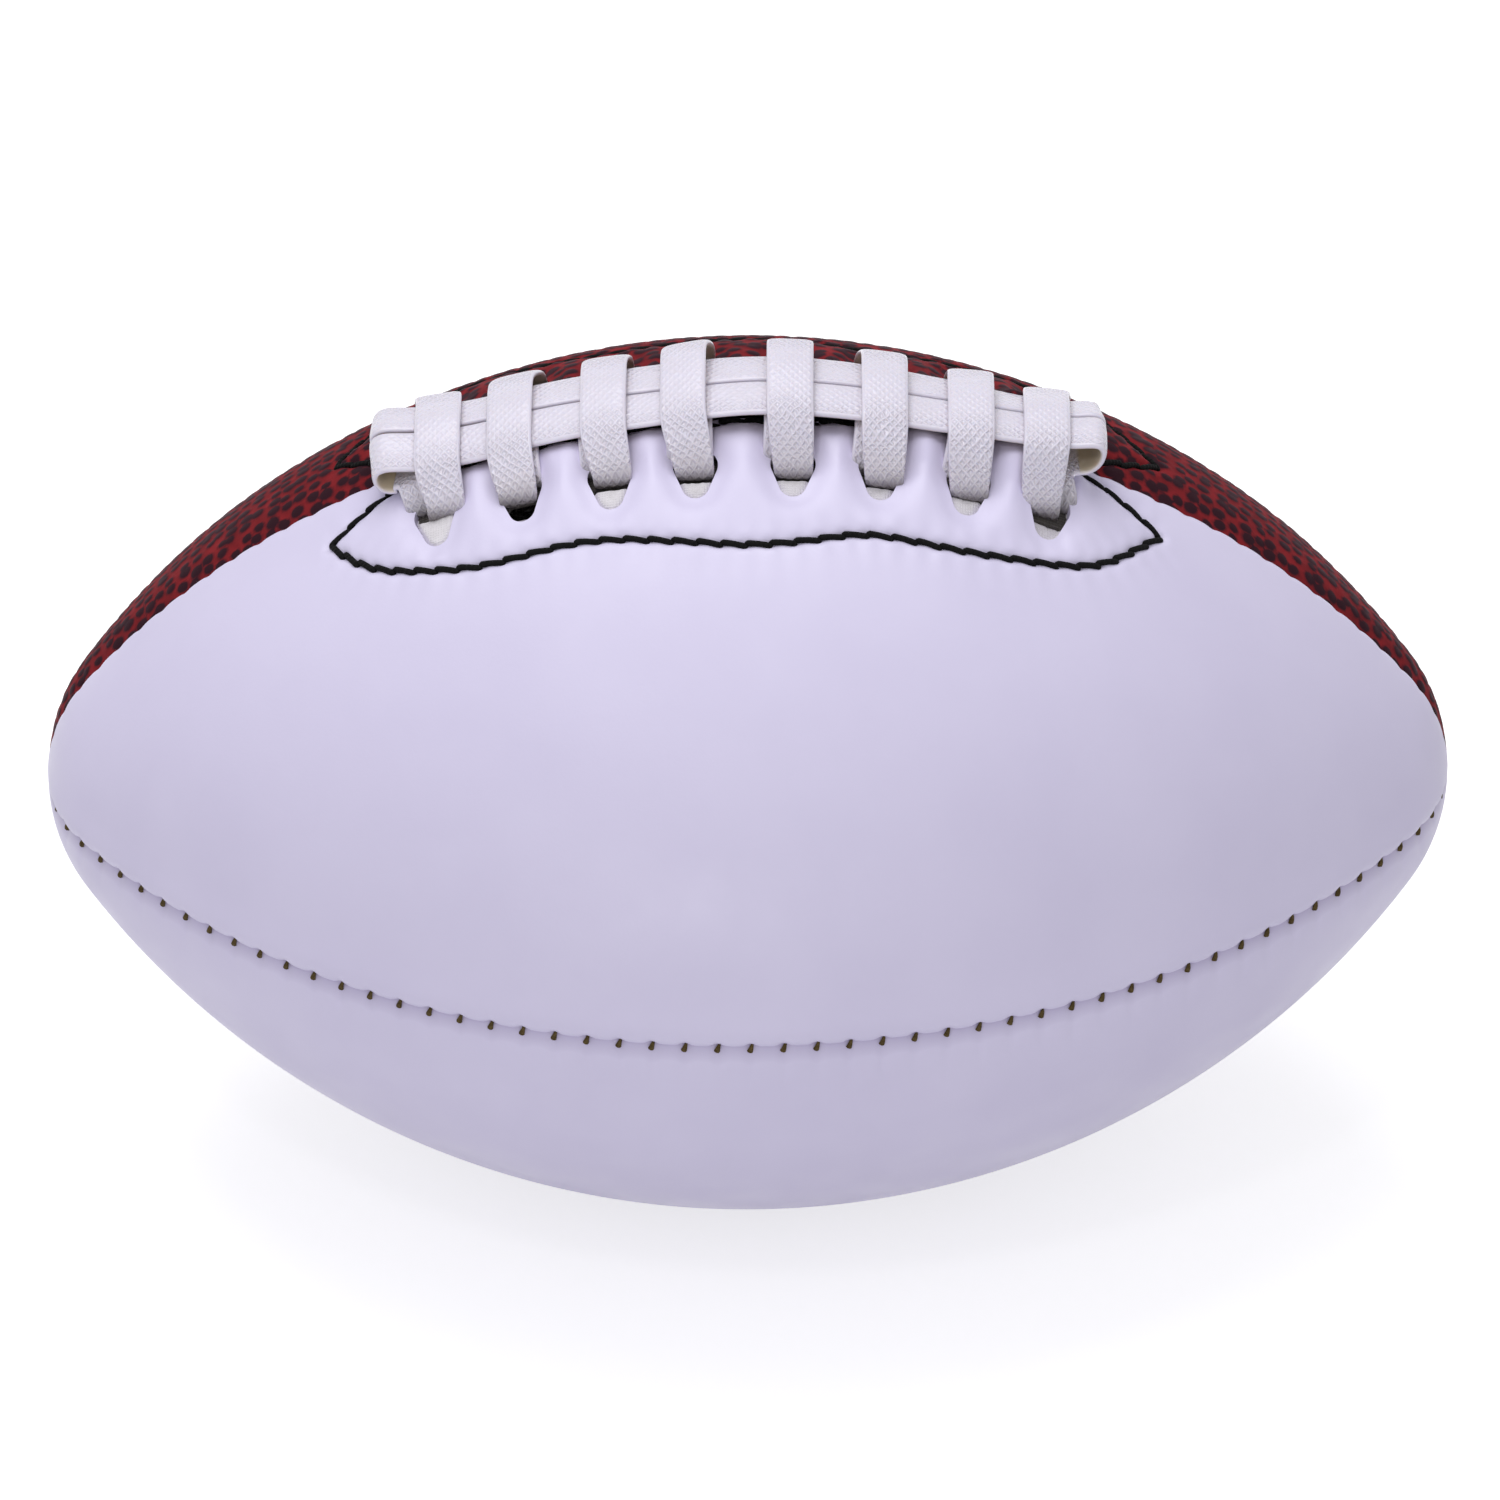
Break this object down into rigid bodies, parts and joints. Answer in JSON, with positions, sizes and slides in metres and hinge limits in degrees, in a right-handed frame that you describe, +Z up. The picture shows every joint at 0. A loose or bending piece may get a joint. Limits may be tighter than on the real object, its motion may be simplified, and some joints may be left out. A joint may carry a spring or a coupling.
{
  "type": "american football",
  "caption": "Inflated prolate ball of four sewn leather panels, with a laced opening over a rubber bladder, for throwing, kicking and carrying.",
  "frame": {"origin": "lowest point of the belly, under the middle of the ball, with the ball lying level and its lacing straight up", "axes": "+X along the ball from nose to nose, +Y from the front panel to the rear panel, +Z up through the lacing"},
  "size_m": [0.2748, 0.173, 0.182],
  "materials": {
    "white_leather": "smooth white synthetic leather with a soft sheen",
    "brown_leather": "pebbled red-brown leather with darker grain",
    "lining_cloth": "woven cotton",
    "facing_cloth": "stiff woven reinforcement",
    "black_thread": "waxed black thread",
    "seam_thread": "waxed dark thread",
    "white_lace": "white vinyl lace with an embossed diamond grain",
    "guard_cloth": "felted pad",
    "bladder_rubber": "thin black rubber",
    "valve_rubber": "soft black rubber"
  },
  "bodies": {
    "root": {"panel_front": "white_leather", "panel_front_lower": "white_leather", "panel_rear_lower": "white_leather", "panel_rear": "brown_leather", "lining_front": "lining_cloth", "lining_rear": "lining_cloth", "lining_front_lower": "lining_cloth", "lining_rear_lower": "lining_cloth", "lace_facing_front": "facing_cloth", "lace_facing_rear": "facing_cloth", "facing_stitches_front": "black_thread", "facing_stitches_rear": "black_thread", "seam_stitches_top": "seam_thread", "seam_stitches_front": "seam_thread", "seam_stitches_bottom": "seam_thread", "seam_stitches_rear": "seam_thread", "lace": "white_lace", "bladder_guard": "guard_cloth", "bladder": "bladder_rubber", "valve_body": "valve_rubber", "valve_core": "valve_rubber"}
  },
  "joints": []
}
